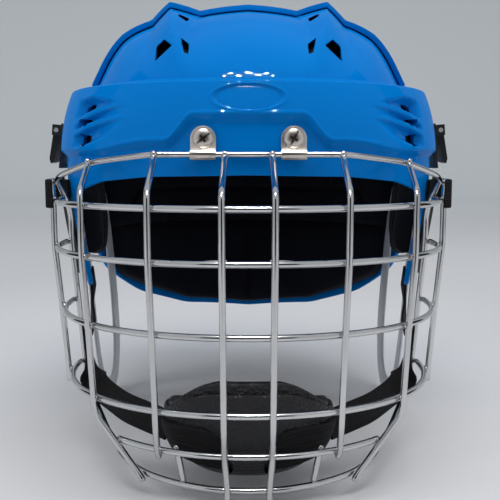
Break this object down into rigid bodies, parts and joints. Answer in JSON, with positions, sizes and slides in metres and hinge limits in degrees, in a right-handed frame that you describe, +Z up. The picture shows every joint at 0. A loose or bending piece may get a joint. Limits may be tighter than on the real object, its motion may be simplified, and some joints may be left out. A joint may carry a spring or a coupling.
{
  "type": "ice hockey helmet with face cage",
  "caption": "Two-piece adjustable sport helmet with a foam liner, clear ear guards, chin cup and flip-up full wire face cage.",
  "frame": {"origin": "middle of the model's box on the surface that it stands on", "axes": "+Z up, the face looks along -Y, +X is to the right seen from the front"},
  "size_m": [0.2618, 0.332, 0.2681],
  "materials": {
    "shell_blue": "glossy moulded plastic",
    "liner_foam": "matt closed-cell foam",
    "cup_foam": "pebbled foam",
    "cage_steel": "bright plated wire",
    "nickel": "nickel plated",
    "webbing": "woven webbing",
    "clear_plastic": "clear moulded plastic",
    "black_plastic": "matt moulded plastic"
  },
  "bodies": {
    "helmet": {"front_shell": "shell_blue", "forehead_pad": "liner_foam", "front_crown_pad": "liner_foam", "top_pad": "liner_foam", "temple_pad_left": "liner_foam", "temple_pad_right": "liner_foam", "clip_left": "nickel", "clip_right": "nickel", "clip_screws": "nickel", "clip_tee_nuts": "nickel", "lever_base_left": "black_plastic", "lever_base_right": "black_plastic", "lever_pins": "nickel", "clamp_bolts": "nickel", "clamp_bushes": "black_plastic", "clamp_nuts": "nickel", "ear_guard_left": "clear_plastic", "ear_guard_right": "clear_plastic", "ear_screws": "nickel", "flap_strap_left": "webbing", "flap_strap_right": "webbing", "chin_strap_left": "webbing", "chin_strap_right": "webbing"},
    "rear": {"rear_shell": "shell_blue", "nape_pad": "liner_foam", "rear_pad": "liner_foam", "rear_top_pad": "liner_foam", "slide_rail_left": "black_plastic", "slide_rail_right": "black_plastic"},
    "cage": {"cage_hinge_wire": "cage_steel", "cage_frame": "cage_steel", "cage_wire_2": "cage_steel", "cage_wire_3": "cage_steel", "cage_wire_4": "cage_steel", "cage_wire_5": "cage_steel", "cage_wire_6": "cage_steel", "cage_upright_1": "cage_steel", "cage_upright_2": "cage_steel", "cage_upright_3": "cage_steel", "cage_upright_4": "cage_steel", "cage_upright_5": "cage_steel", "cage_upright_6": "cage_steel", "cage_upright_7": "cage_steel", "cage_upright_8": "cage_steel", "cage_anchors": "cage_steel", "side_strap_left": "webbing", "side_strap_right": "webbing", "strap_snaps": "nickel", "cup_strap_left": "webbing", "cup_strap_right": "webbing", "chin_cup": "black_plastic", "chin_cup_foam": "cup_foam"},
    "lever_left": {"size_lever_left": "black_plastic"},
    "lever_right": {"size_lever_right": "black_plastic"}
  },
  "joints": [
    {"name": "rear_shell_slide", "type": "slide", "parent": "helmet", "child": "rear", "axis": [0, 1, 0], "range_m": [0, 0.02]},
    {"name": "cage_flip", "type": "hinge", "parent": "helmet", "child": "cage", "pos_m": [0, -0.12043, 0.1725], "axis": [-1, 0, 0], "range_deg": [0, 100]},
    {"name": "size_lever_left_flip", "type": "hinge", "parent": "helmet", "child": "lever_left", "pos_m": [-0.12527, 0.00807, 0.1889], "axis": [0, 1, 0], "range_deg": [0, 90]},
    {"name": "size_lever_right_flip", "type": "hinge", "parent": "helmet", "child": "lever_right", "pos_m": [0.12527, 0.00807, 0.1889], "axis": [0, -1, 0], "range_deg": [0, 90]}
  ]
}
